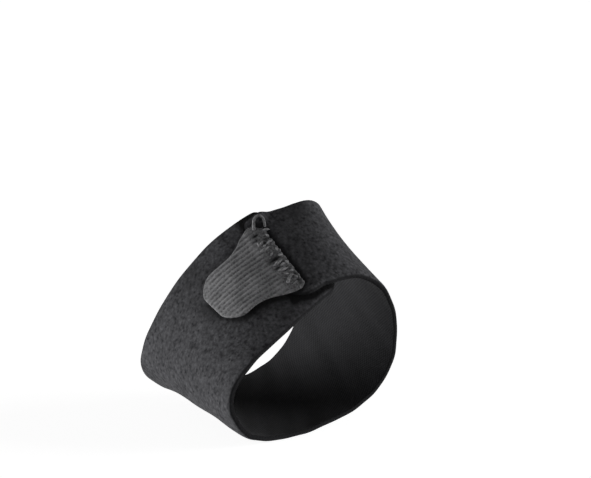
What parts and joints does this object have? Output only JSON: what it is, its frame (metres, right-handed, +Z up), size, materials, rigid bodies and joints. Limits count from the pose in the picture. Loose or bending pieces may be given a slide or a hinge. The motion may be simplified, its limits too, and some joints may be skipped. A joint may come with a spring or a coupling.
{
  "type": "arch support sleeve",
  "caption": "Plush foam wrap worn round the arch of a right foot, overlapped on the instep and closed by a ribbed hook tab.",
  "frame": {"origin": "the point on the axis of the foot's hollow, halfway along the sleeve and halfway up its mean instep height", "axes": "+X along the foot towards the toes, +Y towards the arch side of a right foot, +Z up from the sole"},
  "size_m": [0.0751, 0.0859, 0.0836],
  "materials": {
    "plush_foam_cloth": "short brushed plush, nearly black, with a fine light speckle, on thin foam with black cut edges",
    "ribbed_webbing": "woven dark grey webbing with fine raised ribs along its length, matt",
    "hook_tape": "black nylon hooks, matt"
  },
  "bodies": {
    "root": {"wrap_band": "plush_foam_cloth", "closure_tab": "ribbed_webbing", "hook_pad": "hook_tape"}
  },
  "joints": []
}
